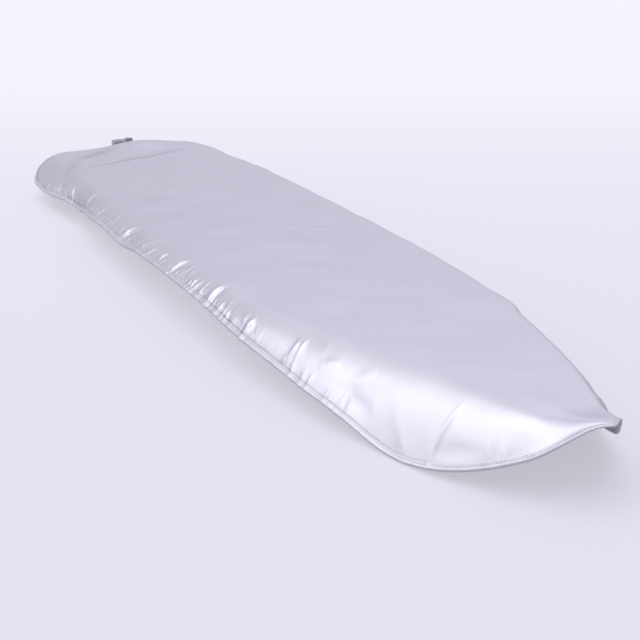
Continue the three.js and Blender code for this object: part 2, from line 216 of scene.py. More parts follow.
# Angles, in degrees, past which an edge is bevelled or stays sharp
PAD_BEVEL_ANGLE = 60
PAD_SHARP_ANGLE = 40
TAPE_SHARP_ANGLE = 50
END_SHARP_ANGLE = 60

# Gathers along the hem: small puckers at uneven distances, where the cord draws the hem in
SEED = 11
GATHER_PITCH = (5, 12)
GATHER_START = 350
GATHER_WIDTH = (1.6, 2.6)
GATHER_HEIGHT = (0.4, 1.4)
GATHER_REACH = (6, 16)
GATHER_LEAN = 0.35

# How a fold stands: its share of height at the hem, where it gains the rest, and where it starts to fade
FOLD_SHARPNESS = 1.3
FOLD_FOOT_SHARE = 0.35
FOLD_FOOT_SPAN = (-2, 10)
FOLD_FULL_SHARE = 0.35

# Where the relief of the skirt comes in: distances from the tip and the tail, and shares of the way down
TIP_CALM = (4, 40)
TAIL_CALM = (10, 40)
ROLL_CALM = (0.08, 0.4)

# Crumples among the gathers, each a short crease that leans either way
CRUMPLE_COUNT = 190
CRUMPLE_RISE = (-5, 11)
CRUMPLE_REACH = (6, 15)
CRUMPLE_LEAN = 8
CRUMPLE_HEIGHT = (-0.7, 1)
CRUMPLE_WIDTH = (1.8, 3.6)

# Creases of the near skirt: start and end, each as its distance along the hem from the tip and its height
# above the hem, then the crest's height and half width. A crest below zero is a valley.
NEAR_CREASES = (
    ((66, -6), (67, 14), 0.4, 3),
    ((79, -6), (79, 18), 0.5, 3.5),
    ((128, 9), (78, 8), -1.3, 11),
    ((131, -6), (110, 50), 1.2, 1.4),
    ((144, -12), (180, 44), 0.7, 6),
    ((243, 12), (196, 15), -2.2, 11),
    ((224, 24), (203, 45), 1.0, 3),
    ((222, -8), (224, 19), 1.5, 2.4),
    ((229, -6), (226, 15), 1.7, 2.2),
    ((237, -6), (231, 14), 1.3, 2.2),
    ((244, -4), (242, 10), 1.2, 2),
    ((264, 20), (241, 32), 1.4, 2.2),
    ((268, -4), (266, 10), 1.4, 2),
    ((277, -4), (276, 9), 1.2, 2),
    ((290, -4), (295, 9), 1.4, 2),
    ((308, 0), (305, 10), 1.2, 2),
    ((303, 3), (295, 31), 1.9, 2.3),
    ((297, 5), (294, 28), -0.9, 1.8),
    ((295, 9), (289, 34), 1.5, 2.3),
    ((373, -6), (366, 21), 1.9, 2.8),
    ((398, -4), (396, 11), 1.4, 2),
    ((411, -4), (412, 9), 1.4, 2),
    ((420, -4), (417, 10), 1.4, 2),
    ((433, -4), (428, 10), 1.7, 2.2),
    ((450, -8), (448, 27), -1.0, 1.8),
    ((458, -8), (455, 28), 2.6, 4.5),
    ((480, -5), (481, 18), 1.7, 2.4),
    ((515, 6), (453, 24), 0.8, 2.6),
    ((459, 30), (465, 48), 0.6, 3),
    ((497, -4), (496, 11), 1.4, 2),
    ((504, -4), (502, 11), 1.4, 2),
    ((511, -4), (511, 10), 1.2, 2),
    ((563, -8), (555, 33), 2.3, 2.6),
    ((549, -4), (548, 12), 1.2, 2),
    ((594, -4), (596, 11), 1.2, 2),
    ((603, -3), (603, 16), 1.8, 2.2),
    ((612, -4), (611, 12), 1.2, 2),
    ((642, -3), (632, 13), 1.8, 2.2),
    ((657, 5), (657, 27), 1.4, 2),
    ((748, -6), (720, 34), 2.5, 4.2),
    ((735, 0), (690, 36), -1.1, 2.2),
    ((728, 0), (684, 36), 0.8, 2.6),
    ((796, 6), (806, 29), 1.0, 5),
    ((860, 1), (847, 19), 1.7, 2.4),
    ((930, -6), (932, 38), 1.8, 3),
    ((1022, -3), (1030, 23), 1.7, 2.2),
    ((1066, 4), (1120, 44), -1.2, 7),
)

# Larger folds of the far side, spread unevenly
FAR_FOLD_PITCH = (50, 120)
FAR_FOLD_WIDTH = (4, 10)
FAR_FOLD_HEIGHT = (0.9, 2.4)
FAR_FOLD_REACH = (24, 46)

# Creases of the top: start and end, crest's height and half width
TOP_CREASES = (
    ((-440, -132), (-522, 24), 1.6, 6.5),
    ((-498, -24), (-552, 112), 1.5, 6.5),
    ((-470, -132), (-596, -46), 1.8, 8),
    ((-38, -36), (28, 42), 1.0, 4),
    ((6, 16), (70, 110), 1.2, 3.4),
    ((150, -46), (80, 90), 0.45, 3.5),
    ((146, 4), (170, 38), 0.3, 4),
    ((384, -132), (381, -62), 0.5, 3.5),
    ((206, -124), (186, -98), 0.5, 3.5),
    ((-150, 20), (-215, 110), 0.3, 6),
    ((-20, -120), (60, -60), 0.3, 7),
    ((200, -70), (260, 40), 0.25, 8),
    ((470, -40), (520, 20), 0.25, 6),
)
CREASE_FADE = 0.7

# Least step between the cross rows of the top, which keeps them in order at the tail
COLUMN_STEP = 2.5

# Low crown at the tail end, where the cloth reaches past the padding, and the faint swell of the whole top
TAIL_CROWN = 12.5
TAIL_CROWN_AT = (-606, 30)
TAIL_CROWN_SPREAD = (68, 72)
SWELL_HEIGHT = 0.12
SWELL_COUNT = 14
SWELL_PITCH = (55, 190)


def smooth(value, low, high):
    share = np.clip((value - low) / (high - low), 0, 1)
    return share * share * (3 - 2 * share)


def mixed(first, second, share):
    return first + (second - first) * share


# Curve through places and amounts, level at each
def eased(value, knots):
    amount = knots[0][1]
    for (start, low), (end, high) in zip(knots, knots[1:]):
        amount = amount + (high - low) * smooth(value, start, end)
    return amount


def unit(vectors):
    return vectors / np.linalg.norm(vectors, axis=-1, keepdims=True)


def dot(first, second):
    return (first * second).sum(axis=-1, keepdims=True)


def bezier(handles, share):
    order = len(handles) - 1
    return sum(
        math.comb(order, k) * (1 - share) ** (order - k) * share**k * np.asarray(handle, float)
        for k, handle in enumerate(handles)
    )


def lengths_along(points):
    return np.concatenate([[0], np.cumsum(np.linalg.norm(np.diff(points, axis=0), axis=1))])


def evenly(points, steps):
    lengths = lengths_along(points)
    places = np.linspace(0, lengths[-1], steps + 1)
    return np.column_stack([np.interp(places, lengths, axis) for axis in points.T])


# Outline of the far half, from the middle of the tail round to the tip
def half_outline():
    tail, tip = -LENGTH / 2, LENGTH / 2
    corner_start = np.array([tail, TAIL_WIDTH / 2])
    corner_end = np.array([tail + TAIL_CORNER, WIDTH / 2])
    shoulder = np.array([tip - NOSE_LENGTH, SHOULDER_WIDTH / 2])
    tip_start = np.array([tip - TIP_LENGTH, TIP_WIDTH / 2])
    shoulder_way = np.array([1, -SHOULDER_SLOPE])
    tip_way = np.array([1, -TIP_SLOPE])
    corner_rise = corner_end[1] - corner_start[1]
    side_span = shoulder[0] - corner_end[0]
    nose_span = tip_start[0] - shoulder[0]
    corner = (
        corner_start,
        corner_start + [0, corner_rise * CORNER_HANDLE],
        corner_end - [TAIL_CORNER * CORNER_HANDLE, 0],
        corner_end,
    )
    side = (
        corner_end,
        corner_end + [side_span * SIDE_HANDLES[0], 0],
        shoulder - shoulder_way * side_span * SIDE_HANDLES[1],
        shoulder,
    )
    nose = (
        shoulder,
        shoulder + shoulder_way * nose_span * NOSE_HANDLES[0],
        tip_start - tip_way * nose_span * NOSE_HANDLES[1],
        tip_start,
    )
    tip_turn = (tip_start, tip_start + tip_way * TIP_LENGTH, (tip, 0))
    share = np.linspace(0, 1, CURVE_POINTS)[:, None]
    curved = np.vstack([bezier(curve, share) for curve in (corner, side, nose, tip_turn)])
    straight = bezier(((tail, 0), corner_start), np.linspace(0, 1, TAIL_STEPS + 1)[:, None])
    return np.vstack([straight[:-1], evenly(curved, SIDE_STEPS)])


# Depth and flare of the skirt all round
def skirt_shape(from_tip, from_tail, rise_share):
    swoop = 1 - smooth(from_tip, SWOOP_PEAK, SWOOP_END)
    corner = 1 - smooth(from_tail, CORNER_HOLD, CORNER_END)
    lip = 1 - smooth(from_tail, TAIL_WIDTH / 2, TAIL_LIP_END)
    rise = np.sin(np.pi / 2 * np.minimum(1, rise_share)) ** TIP_EASE

    def blend(side, swooped, cornered, tail, tip):
        along = side + (swooped - side) * swoop + (cornered - side) * corner
        return mixed(tip, mixed(along, tail, lip), rise)

    depth = blend(SIDE_DEPTH, SWOOP_DEPTH, CORNER_DEPTH, TAIL_DEPTH, TIP_DEPTH)
    flare = blend(SIDE_FLARE, SWOOP_FLARE, CORNER_FLARE, TAIL_FLARE, TIP_FLARE)
    return depth, flare


# Stations right round the outline, far side first, with the line of the hem at each
def make_ring():
    half = half_outline()
    tip_index = len(half) - 1
    from_tail = lengths_along(half)
    back = slice(tip_index - 1, 0, -1)
    outline = np.vstack([half, half[back] * [1, -1]])
    from_tail = np.concatenate([from_tail, from_tail[back]])
    from_tip = from_tail[tip_index] - from_tail
    side = np.where(np.arange(len(outline)) < tip_index, -1, 1)
    outline[:, 1] += np.where(side < 0, eased(from_tip, FAR_PULL), 0)
    along = np.roll(outline, -1, axis=0) - np.roll(outline, 1, axis=0)
    outward = unit(np.column_stack([-along[:, 1], along[:, 0], np.zeros(len(outline))]))
    signed = from_tip * side
    lift = TIP_LIFT * (1 - smooth(from_tip, 0, TIP_LIFT_SPAN))
    tip_dip = TIP_DIP * (1 - smooth(from_tip, *TIP_DIP_SPAN))
    near_dip = eased(signed, NEAR_DIP)
    dip = tip_dip + near_dip
    edge = np.column_stack([outline, TOP + lift - dip])
    base = edge.copy()
    edge[:, 1] -= np.where(side > 0, eased(from_tip, NEAR_PULL), 0)
    from_crest = np.hypot(signed - CREST_AT, CREST_ROUND) - CREST_ROUND
    rise_span = np.where(signed < CREST_AT, FAR_TIP_RISE, TIP_RISE)
    depth, flare = skirt_shape(from_tip, from_tail, from_crest / rise_span)
    depth = TIP_BAND_DROP + TIP_BAND_EASE * np.logaddexp(0, (depth - dip) / TIP_BAND_EASE)
    flare = flare + np.where(side > 0, eased(from_tip, NEAR_SPREAD), 0)
    depth = depth - np.where(side > 0, eased(from_tip, NEAR_RISE), 0)
    edge_round = np.minimum(EDGE_ROUND, depth / 2)
    near_share = smooth(-outline[:, 1], *ROLL_SIDE_SPAN)
    far_roll = mixed(CORNER_ROLL, FAR_ROLL, smooth(from_tail, *CORNER_ROLL_SPAN))
    roll = mixed(TIP_ROLL, mixed(far_roll, NEAR_ROLL, near_share), smooth(from_tip, *TIP_ROLL_SPAN))
    hem = base + outward * flare[:, None] - UP * depth[:, None]
    along = unit(np.roll(hem, -1, axis=0) - np.roll(hem, 1, axis=0))
    down = hem - (edge - UP * edge_round[:, None])
    down = unit(down - along * dot(down, along))
    normal = np.cross(along, down)
    return SimpleNamespace(
        count=len(outline),
        from_tip=from_tip,
        from_tail=from_tail,
        signed=signed,
        side=side,
        outward=outward,
        lift=lift - tip_dip,
        near_dip=near_dip,
        roll=roll,
        hold=mixed(FAR_HOLD, NEAR_HOLD, near_share),
        edge=edge,
        depth=depth,
        band=np.interp(from_tip, BAND_PLACES, BAND_SHARES)[:, None],
        hem=hem,
        along=along,
        down=down,
        normal=normal,
    )


# Crease along a line, highest at its middle
def crease(first, second, start, end, crest, half_width):
    span = np.subtract(end, start)
    length = np.linalg.norm(span)
    way = span / length
    along = (first - start[0]) * way[0] + (second - start[1]) * way[1]
    across = (second - start[1]) * way[0] - (first - start[0]) * way[1]
    fade = np.sin(np.pi * np.clip(along / length, 0, 1)) ** CREASE_FADE
    return crest * fade * np.exp(-np.abs(across / half_width) ** FOLD_SHARPNESS)


# Relief of the top: packing creases, a faint swell and the crown at the tail end
def top_relief(x, y):
    height = sum(crease(x, y, *place) for place in TOP_CREASES)
    (crown_x, crown_y), (spread_x, spread_y) = TAIL_CROWN_AT, TAIL_CROWN_SPREAD
    off_crown = np.hypot((x - crown_x) / spread_x, (y - crown_y) / spread_y)
    height += TAIL_CROWN * np.exp(-(off_crown**2))
    draws = np.random.default_rng(SEED + 1)
    for _ in range(SWELL_COUNT):
        turn = draws.uniform(0, np.pi)
        pitch = draws.uniform(*SWELL_PITCH)
        phase = draws.uniform(0, 2 * np.pi)
        wave = (x * math.cos(turn) + y * math.sin(turn)) * 2 * np.pi / pitch
        height += SWELL_HEIGHT * np.sin(wave + phase)
    return height


# Fold that stands up from the hem and fades towards its reach
def fold(place, above_hem, centre, lean, half_width, height, reach):
    across = (place - centre - lean * above_hem) / half_width
    foot = mixed(FOLD_FOOT_SHARE, 1, smooth(above_hem, *FOLD_FOOT_SPAN))
    stand = foot * (1 - smooth(above_hem, FOLD_FULL_SHARE * reach, reach))
    return height * np.exp(-np.abs(across) ** FOLD_SHARPNESS) * stand


def uneven_places(draws, start, pitch, end):
    place = start
    while place < end:
        yield place
        place += draws.uniform(*pitch)


# Adds a fold at each place, with its lean, width, height and reach drawn from their ranges
def add_folds(found, draws, centres, place, heights, widths, crests, reaches):
    for centre in centres:
        lean = draws.uniform(-GATHER_LEAN, GATHER_LEAN)
        half_width = draws.uniform(*widths)
        crest = draws.uniform(*crests)
        found += fold(place, heights, centre, lean, half_width, crest, draws.uniform(*reaches))


# Relief of the skirt: gathers and crumples on both sides, then each side's own larger folds
def skirt_relief(ring, above_hem):
    draws = np.random.default_rng(SEED)
    relief = np.zeros(above_hem.shape)
    side_length = ring.from_tip.max()
    for side in (-1, 1):
        own = ring.side == side
        place = ring.from_tip[own]
        heights = above_hem[:, own]
        found = np.zeros(heights.shape)
        centres = uneven_places(draws, GATHER_START, GATHER_PITCH, side_length)
        add_folds(found, draws, centres, place, heights, GATHER_WIDTH, GATHER_HEIGHT, GATHER_REACH)
        for _ in range(CRUMPLE_COUNT):
            foot = np.array([draws.uniform(GATHER_START, side_length), draws.uniform(*CRUMPLE_RISE)])
            end = foot + [draws.uniform(-CRUMPLE_LEAN, CRUMPLE_LEAN), draws.uniform(*CRUMPLE_REACH)]
            crest = draws.uniform(*CRUMPLE_HEIGHT)
            found += crease(place, heights, foot, end, crest, draws.uniform(*CRUMPLE_WIDTH))
        if side > 0:
            found += sum(crease(place, heights, *line) for line in NEAR_CREASES)
        else:
            start = draws.uniform(*FAR_FOLD_PITCH)
            centres = uneven_places(draws, start, FAR_FOLD_PITCH, side_length)
            ranges = (FAR_FOLD_WIDTH, FAR_FOLD_HEIGHT, FAR_FOLD_REACH)
            add_folds(found, draws, centres, place, heights, *ranges)
        relief[:, own] = found
    return relief * (smooth(ring.from_tip, *TIP_CALM) * smooth(ring.from_tail, *TAIL_CALM))


# Rows of the cloth from the roll at the edge down to the lip of the binding, with the hem's own shift
def skirt_rows(ring):
    inset = ring.roll[:, None]
    start = ring.edge - ring.outward * inset
    start[:, 2] += top_relief(start[:, 0], start[:, 1])
    lip = ring.hem - ring.down * LIP_WIDTH * ring.band + ring.normal * CLOTH_THICKNESS / 2
    depth = ring.depth[:, None]
    hold = inset * ring.hold[:, None] + SWOOP_HOLD * np.maximum(depth - SIDE_DEPTH, 0)
    handles = (start, start + ring.outward * hold, lip - ring.down * HANG_REACH * depth, lip)
    share = np.linspace(0, 1, SKIRT_ROWS + 1)[:, None, None]
    rows = bezier(handles, share)
    steps = np.linalg.norm(np.diff(rows, axis=0), axis=2)
    above_hem = np.vstack([np.cumsum(steps[::-1], axis=0)[::-1], np.zeros(ring.count)])
    relief = skirt_relief(ring, above_hem) * smooth(share[:, :, 0], *ROLL_CALM)
    tangents = np.gradient(rows, axis=0)
    sideways = np.roll(rows, -1, axis=1) - np.roll(rows, 1, axis=1)
    normals = unit(np.cross(sideways, tangents))
    rows = rows + normals * relief[:, :, None]
    shift = ring.normal * relief[-1][:, None]
    reach = above_hem[0] - above_hem
    flat = start[:, :2] + ring.outward[:, :2] * reach[:, :, None]
    return rows, flat, above_hem, shift


# Making of pieces
def new_piece(name, points, faces, finishes, **flats):
    mesh = bpy.data.meshes.new(name)
    mesh.from_pydata((np.asarray(points) * MM).tolist(), [], faces)
    for finish in finishes:
        mesh.materials.append(finish)
    corners = np.zeros(len(mesh.loops), int)
    mesh.loops.foreach_get("vertex_index", corners)
    for map_name, flat in flats.items():
        layer = mesh.uv_layers.new(name=map_name)
        layer.data.foreach_set("uv", (np.asarray(flat)[corners] * MM).ravel())
    piece = bpy.data.objects.new(name, mesh)
    bpy.context.scene.collection.objects.link(piece)
    return piece


def pick(piece):
    bpy.ops.object.select_all(action="DESELECT")
    piece.select_set(True)
    bpy.context.view_layer.objects.active = piece


def apply_modifier(piece, kind, **settings):
    pick(piece)
    modifier = piece.modifiers.new(kind.title(), kind)
    for setting, value in settings.items():
        setattr(modifier, setting, value)
    bpy.ops.object.modifier_apply(modifier=modifier.name)


def face_outwards(piece):
    pick(piece)
    bpy.ops.object.mode_set(mode="EDIT")
    bpy.ops.mesh.select_all(action="SELECT")
    bpy.ops.mesh.normals_make_consistent(inside=False)
    bpy.ops.object.mode_set(mode="OBJECT")


def shade(piece, angle=None):
    pick(piece)
    if angle is None:
        bpy.ops.object.shade_smooth()
    else:
        bpy.ops.object.shade_smooth_by_angle(angle=math.radians(angle))


# Tube of any section along stations, closed at its ends
def swept(name, centres, first, second, section, finishes, scale=1):
    count, size = len(centres), len(section)
    first, second = first * scale, second * scale
    first_part = first[:, None, :] * section[None, :, 0:1]
    second_part = second[:, None, :] * section[None, :, 1:2]
    points = (centres[:, None, :] + first_part + second_part).reshape(-1, 3)
    faces = []
    for i in range(count - 1):
        for j in range(size):
            here, other = i * size + j, i * size + (j + 1) % size
            faces.append((here, other, other + size, here + size))
    faces.append(tuple(range(size)))
    faces.append(tuple(range((count - 1) * size, count * size)))
    lengths, around = lengths_along(centres), lengths_along(section)
    flat = np.column_stack([np.repeat(lengths, size), np.tile(around, count)])
    piece = new_piece(name, points, faces, finishes, flat=flat)
    face_outwards(piece)
    return piece


def round_section(radius, sides):
    turn = np.linspace(0, 2 * np.pi, sides, endpoint=False)
    return np.column_stack([np.cos(turn), np.sin(turn)]) * radius


# Frames that turn as little as they can along a line
def frames(line):
    along = unit(np.gradient(line, axis=0))
    start = np.cross(along[0], UP)
    if np.linalg.norm(start) < LEAST_CROSSING:
        start = np.cross(along[0], np.array([1.0, 0.0, 0.0]))
    first = [unit(start)]
    for way in along[1:]:
        first.append(unit(first[-1] - way * np.dot(first[-1], way)))
    first = np.array(first)
    return first, np.cross(along, first)


def round_tube(name, line, radius, sides, finishes, scale=1):
    first, second = frames(line)
    return swept(name, line, first, second, round_section(radius, sides), finishes, scale)


# Smooth line through given points
def through(points, steps_each):
    points = np.asarray(points, float)
    padded = np.vstack([2 * points[0] - points[1], points, 2 * points[-1] - points[-2]])
    line = [points[:1]]
    share = np.linspace(0, 1, steps_each + 1)[1:, None]
    for a, b, c, d in zip(padded, padded[1:], padded[2:], padded[3:]):
        line.append(
            b
            + share * (c - a) / 2
            + share**2 * (a - 2.5 * b + 2 * c - d / 2)
            + share**3 * (1.5 * b - a / 2 - 1.5 * c + d / 2)
        )
    return np.vstack(line)


# Top cloth: a grid across the top from every second station, the rolled edge, the skirt, and the edge that
# the binding grips
def make_cloth(ring, rows, flat, above_hem, shift, finishes):
    size = ring.count
    hem = ring.hem + ring.normal * CLOTH_THICKNESS / 2 + shift
    ring_points = np.concatenate([rows, hem[None]])
    hem_flat = flat[-1] + ring.outward[:, :2] * LIP_WIDTH
    ring_flat = np.concatenate([flat, hem_flat[None]])
    columns = SIDE_STEPS // 2
    across = TAIL_STEPS
    share = np.linspace(0, 1, across + 1)[1:-1]
    far = TAIL_STEPS + 2 * np.arange(1, columns)
    inner = mixed(rows[0][far][:, None, :], rows[0][size - far][:, None, :], share[None, :, None])
    near_dip = ring.near_dip[size - far][:, None] * smooth(share, 1 - NEAR_DIP_WIDTH, 1)
    tail_row = rows[0][(TAIL_STEPS - 2 * np.arange(1, across)) % size][:, 0]
    inner[:, :, 0] = np.maximum(inner[:, :, 0], tail_row + COLUMN_STEP * np.arange(1, columns)[:, None])
    inner[:, :, 2] = TOP + ring.lift[far][:, None] - near_dip
    inner[:, :, 2] += top_relief(inner[:, :, 0], inner[:, :, 1])
    inner = inner.reshape(-1, 3)
    first_inner = len(ring_points) * size

    def corner(column, row):
        station = TAIL_STEPS + 2 * column
        if column == 0:
            return (TAIL_STEPS - 2 * row) % size
        if column == columns or row == 0:
            return station
        if row == across:
            return size - station
        return first_inner + (column - 1) * (across - 1) + row - 1

    # A cell takes in the station between two of its corners on the ring, so that no gap opens there
    def cell(*corners):
        loop = []
        for here, after in zip(corners, corners[1:] + corners[:1]):
            loop.append(here)
            if max(here, after) < size:
                gap = (after - here) % size
                if gap == 2:
                    loop.append((here + 1) % size)
                elif gap == size - 2:
                    loop.append((here - 1) % size)
        return tuple(loop)

    faces = []
    for column in range(columns - 1):
        for row in range(across):
            square = ((column, row), (column, row + 1), (column + 1, row + 1), (column + 1, row))
            faces.append(cell(*(corner(*place) for place in square)))
    tip = corner(columns, 0)
    for row in range(across):
        faces.append(cell(corner(columns - 1, row), corner(columns - 1, row + 1), tip))
    for row in range(len(ring_points) - 1):
        for i in range(size):
            after = (i + 1) % size
            upper, lower = row * size, (row + 1) * size
            faces.append((upper + i, upper + after, lower + after, lower + i))
    points = np.vstack([ring_points.reshape(-1, 3), inner])
    flats = np.vstack([ring_flat.reshape(-1, 2), inner[:, :2]])
    hem_heights = np.vstack([above_hem, np.zeros(size)])
    hem_places = np.broadcast_to(ring.signed, hem_heights.shape)
    ring_hems = np.stack([hem_places, hem_heights], axis=2).reshape(-1, 2)
    inner_hems = np.column_stack([inner[:, 0], np.full(len(inner), above_hem.max())])
    hems = np.vstack([ring_hems, inner_hems])
    piece = new_piece("cover_cloth", points, faces, finishes, flat=flats, hem=hems)
    apply_modifier(piece, "SOLIDIFY", thickness=CLOTH_THICKNESS * MM, offset=-1, material_offset=1)
    shade(piece)
    return piece


# Stations of the binding, which is open at the middle of the tail
def casing_stations(ring):
    order = np.arange(ring.count)
    on_tail = ring.edge[:, 0] < -LENGTH / 2 + TAIL_LINE_SLACK
    return order[~(on_tail & (np.abs(ring.edge[:, 1]) < CASING_GAP / 2))]


# Section of the folded tape: two lips beside the cloth, joined by a bulb round the cord
def tape_section():
    def bulb(radius, reach):
        start = math.asin(reach / radius)
        turn = np.linspace(start, 2 * np.pi - start, BULB_STEPS + 1)
        return np.column_stack([radius * np.sin(turn), CORD_DROP - radius * np.cos(turn)])

    outer_reach = SLOT_HALF + TAPE_THICKNESS
    soft = TAPE_THICKNESS / 4
    return np.vstack([
        [(SLOT_HALF + soft, -LIP_WIDTH - soft), (outer_reach - soft, -LIP_WIDTH - soft)],
        [(outer_reach, -LIP_WIDTH + soft)],
        bulb(BORE_RADIUS + TAPE_THICKNESS, outer_reach),
        [(-outer_reach, -LIP_WIDTH + soft), (-outer_reach + soft, -LIP_WIDTH - soft)],
        [(-SLOT_HALF - soft, -LIP_WIDTH - soft), (-SLOT_HALF, -LIP_WIDTH + soft)],
        bulb(BORE_RADIUS, SLOT_HALF)[::-1],
        [(SLOT_HALF, -LIP_WIDTH + soft)],
    ])


def make_binding(ring, shift, finish):
    picked = casing_stations(ring)
    draws = np.random.default_rng(SEED + 2)
    knots = np.arange(0, ring.from_tail.max() * 2 + TAPE_RIPPLE_PITCH, TAPE_RIPPLE_PITCH / 2)
    heights = draws.normal(0, TAPE_RIPPLE, len(knots))
    ripple = np.interp(ring.signed + ring.from_tail.max(), knots, heights)
    centres = ring.hem + shift + ring.normal * ripple[:, None]
    ways = (ring.normal[picked], ring.down[picked])
    piece = swept("hem_tape", centres[picked], *ways, tape_section(), [finish], ring.band[picked])
    shade(piece, TAPE_SHARP_ANGLE)
    return piece


# One stitch, copied along both faces of the binding
def make_stitches(ring, shift, finish):
    bpy.ops.object.select_all(action="DESELECT")
    bpy.ops.mesh.primitive_uv_sphere_add(segments=STITCH_SIDES, ring_count=STITCH_RINGS, radius=1)
    pattern = bpy.context.active_object
    shape = np.array([corner.co for corner in pattern.data.vertices])
    patches = [tuple(face.vertices) for face in pattern.data.polygons]
    bpy.data.objects.remove(pattern)
    picked = casing_stations(ring)
    line = (ring.hem + shift - ring.down * (LIP_WIDTH - STITCH_INSET) * ring.band)[picked]
    lengths = lengths_along(line)
    places = np.arange(STITCH_PITCH, lengths[-1] - STITCH_PITCH, STITCH_PITCH)

    def at_places(vectors):
        return np.column_stack([np.interp(places, lengths, axis) for axis in vectors.T])

    along, normal, down = (
        at_places((part * ring.band)[picked]) for part in (ring.along, ring.normal, ring.down)
    )
    centres = at_places(line)
    face_reach = SLOT_HALF + TAPE_THICKNESS
    points, faces = [], []
    for side in (1, -1):
        for centre, way, out, fall in zip(centres, along, normal * side, down):
            start = len(points) * len(shape)
            stretched = np.outer(shape[:, 2] * STITCH_LENGTH / 2, way)
            raised = np.outer(shape[:, 0] * STITCH_RADIUS, out)
            spread = np.outer(shape[:, 1] * STITCH_RADIUS, fall)
            points.append(centre + out * face_reach + stretched + raised + spread)
            faces.extend(tuple(start + corner for corner in patch) for patch in patches)
    piece = new_piece("hem_stitches", np.vstack(points), faces, [finish])
    face_outwards(piece)
    shade(piece)
    return piece


# Cord: the stretch inside the casing, and the two tails
def make_casing_cord(ring, finish):
    picked = casing_stations(ring)
    after_gap = np.searchsorted(picked, 1)
    inside = picked[after_gap::CASING_CORD_STRIDE]
    line = (ring.hem + ring.down * CORD_DROP * ring.band)[inside]
    shares = ring.band[inside]
    piece = round_tube("cord_in_casing", line, CORD_RADIUS, CASING_CORD_SIDES, [finish], shares)
    shade(piece)
    return piece


def casing_mouth(ring):
    cord = ring.hem + ring.down * CORD_DROP
    first = casing_stations(ring)[0]
    return np.array([cord[first][0], 0, cord[first][2]])


def tail_point(ring, place, side, stack):
    outwards, sideways, upwards, share = place
    return casing_mouth(ring) + [-outwards, sideways * side, upwards + stack * CORD_SPREAD * share]


def tail_line(ring, side, stack):
    mouth = casing_mouth(ring) + [0, side * CASING_GAP / 2, 0]
    lead = [tail_point(ring, place, side, stack) for place in LEAD_ROUTE]
    rest = [tail_point(ring, place, 1, stack) for place in TAIL_ROUTE]
    return through([mouth, *lead, *rest], ROUTE_STEPS)


def make_tail(name, line, finish):
    piece = round_tube(name, line, CORD_RADIUS, TAIL_SIDES, [finish])
    shade(piece, END_SHARP_ANGLE)
    return piece


# Padding: flat layers with softened edges, drawn in from the outline
def make_pad(name, ring, inset, base, thickness, finish):
    share = smooth(ring.from_tip, 0, PAD_SETBACK_SPAN)
    points = ring.edge - ring.outward * (inset * share + PAD_DIP_INSET * ring.near_dip)[:, None]
    points[:, 0] -= PAD_SETBACK * (1 - share)
    points = points[::2]
    points[:, 2] = base
    piece = new_piece(name, points, [tuple(range(len(points)))], [finish])
    pick(piece)
    bpy.ops.object.mode_set(mode="EDIT")
    bpy.ops.mesh.select_all(action="SELECT")
    bpy.ops.mesh.extrude_region_move(TRANSFORM_OT_translate={"value": (0, 0, thickness * MM)})
    bpy.ops.object.mode_set(mode="OBJECT")
    face_outwards(piece)
    apply_modifier(
        piece,
        "BEVEL",
        width=PAD_BEVEL * MM,
        segments=PAD_BEVEL_STEPS,
        limit_method="ANGLE",
        angle_limit=math.radians(PAD_BEVEL_ANGLE),
    )
    shade(piece, PAD_SHARP_ANGLE)
    return piece


# Spring inside the lock, which the plunger presses
def make_spring(low, high, finish):
    middle = (low + high) / 2
    turn = np.linspace(0, 2 * np.pi * SPRING_TURNS, int(SPRING_TURNS * COIL_STEPS))
    climb = np.linspace(low[1] + SPRING_WIRE / 2, high[1] - SPRING_WIRE / 2, len(turn))
    line = np.column_stack([
        middle[0] + SPRING_RADIUS * np.cos(turn),
        climb,
        middle[2] + SPRING_RADIUS * np.sin(turn),
    ])
    piece = round_tube("lock_coil", line, SPRING_WIRE / 2, COIL_SIDES, [finish])
    shade(piece, END_SHARP_ANGLE)
    return piece


# Tones of the finishes, dark and light
CLOTH_TONES = ((0.518, 0.518, 0.578), (0.538, 0.538, 0.598))
BACK_TONES = ((0.4, 0.395, 0.42), (0.47, 0.465, 0.49))
TAPE_TONES = ((0.49, 0.49, 0.545), (0.55, 0.55, 0.605))
THREAD_TONES = ((0.4, 0.4, 0.46), (0.52, 0.52, 0.58))
FOAM_TONES = ((0.66, 0.64, 0.57), (0.81, 0.79, 0.72))
FELT_TONES = ((0.5, 0.49, 0.5), (0.72, 0.71, 0.72))
CORD_TONES = ((0.6, 0.6, 0.65), (0.8, 0.8, 0.85))
BARREL_TONES = ((0.3, 0.31, 0.36), (0.35, 0.36, 0.41))
BUTTON_TONES = ((0.34, 0.35, 0.4), (0.4, 0.41, 0.46))
STEEL_TONES = ((0.42, 0.44, 0.47), (0.52, 0.54, 0.57))

# Roughness of the finishes, from the pattern's low places to its high ones
CLOTH_ROUGHNESS = (0.35, 0.45)
BACK_ROUGHNESS = (0.85, 0.95)
TAPE_ROUGHNESS = (0.42, 0.54)
THREAD_ROUGHNESS = (0.7, 0.9)
FOAM_ROUGHNESS = (0.9, 0.98)
FELT_ROUGHNESS = (0.92, 0.98)
CORD_ROUGHNESS = (0.85, 0.7)
PLASTIC_ROUGHNESS = (0.38, 0.54)
STEEL_ROUGHNESS = (0.25, 0.4)

# Weave, crinkle, braid, ribs and clumps of the finishes, and the sheen that is left at grazing angles
WEAVE_SCALE = 330
WEAVE_ROUGHNESS = 0.04
WEAVE_RELIEF = 0.2
CRINKLE_RELIEF = 0.8
BRAID_SCALE = 420
BRAID_TURN = 45
RIB_RELIEF = 0.4
CLUMP_SHARE = 0.6
EDGE_SHEEN = (0.5, 0.5, 0.53, 1)

